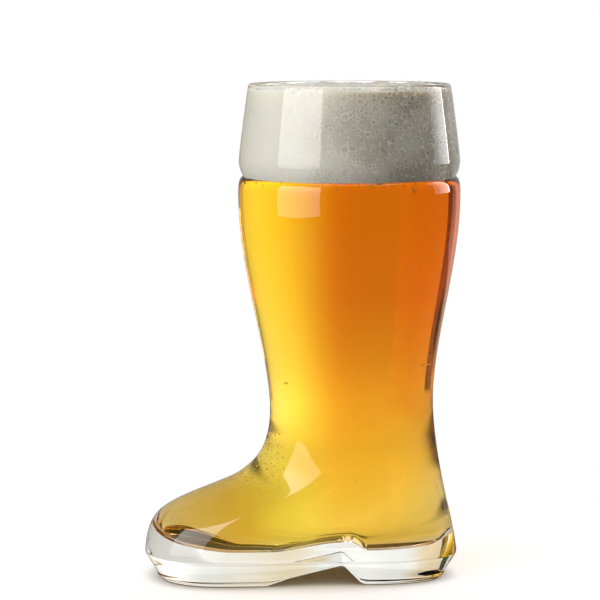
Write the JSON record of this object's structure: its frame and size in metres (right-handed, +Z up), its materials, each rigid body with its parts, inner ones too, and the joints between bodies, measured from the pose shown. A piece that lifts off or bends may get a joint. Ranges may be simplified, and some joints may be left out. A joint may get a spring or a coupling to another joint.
{
  "type": "beer boot glass",
  "caption": "Boot-shaped drinking glass with a barrel collar, flared shaft, toe and heeled sole, filled with amber beer under a head of foam.",
  "frame": {"origin": "on the table, halfway between the tip of the toe and the back of the heel", "axes": "+Z up to the rim, -X towards the toe, +X towards the heel, Y across the foot"},
  "size_m": [0.1316, 0.0922, 0.2068],
  "materials": {
    "clear_glass": "fire-polished, clear",
    "amber_beer": "clear liquid",
    "beer_foam": "fine wet bubbles"
  },
  "bodies": {
    "root": {"glass_boot": "clear_glass", "beer": "amber_beer", "foam_head": "beer_foam"}
  },
  "joints": []
}
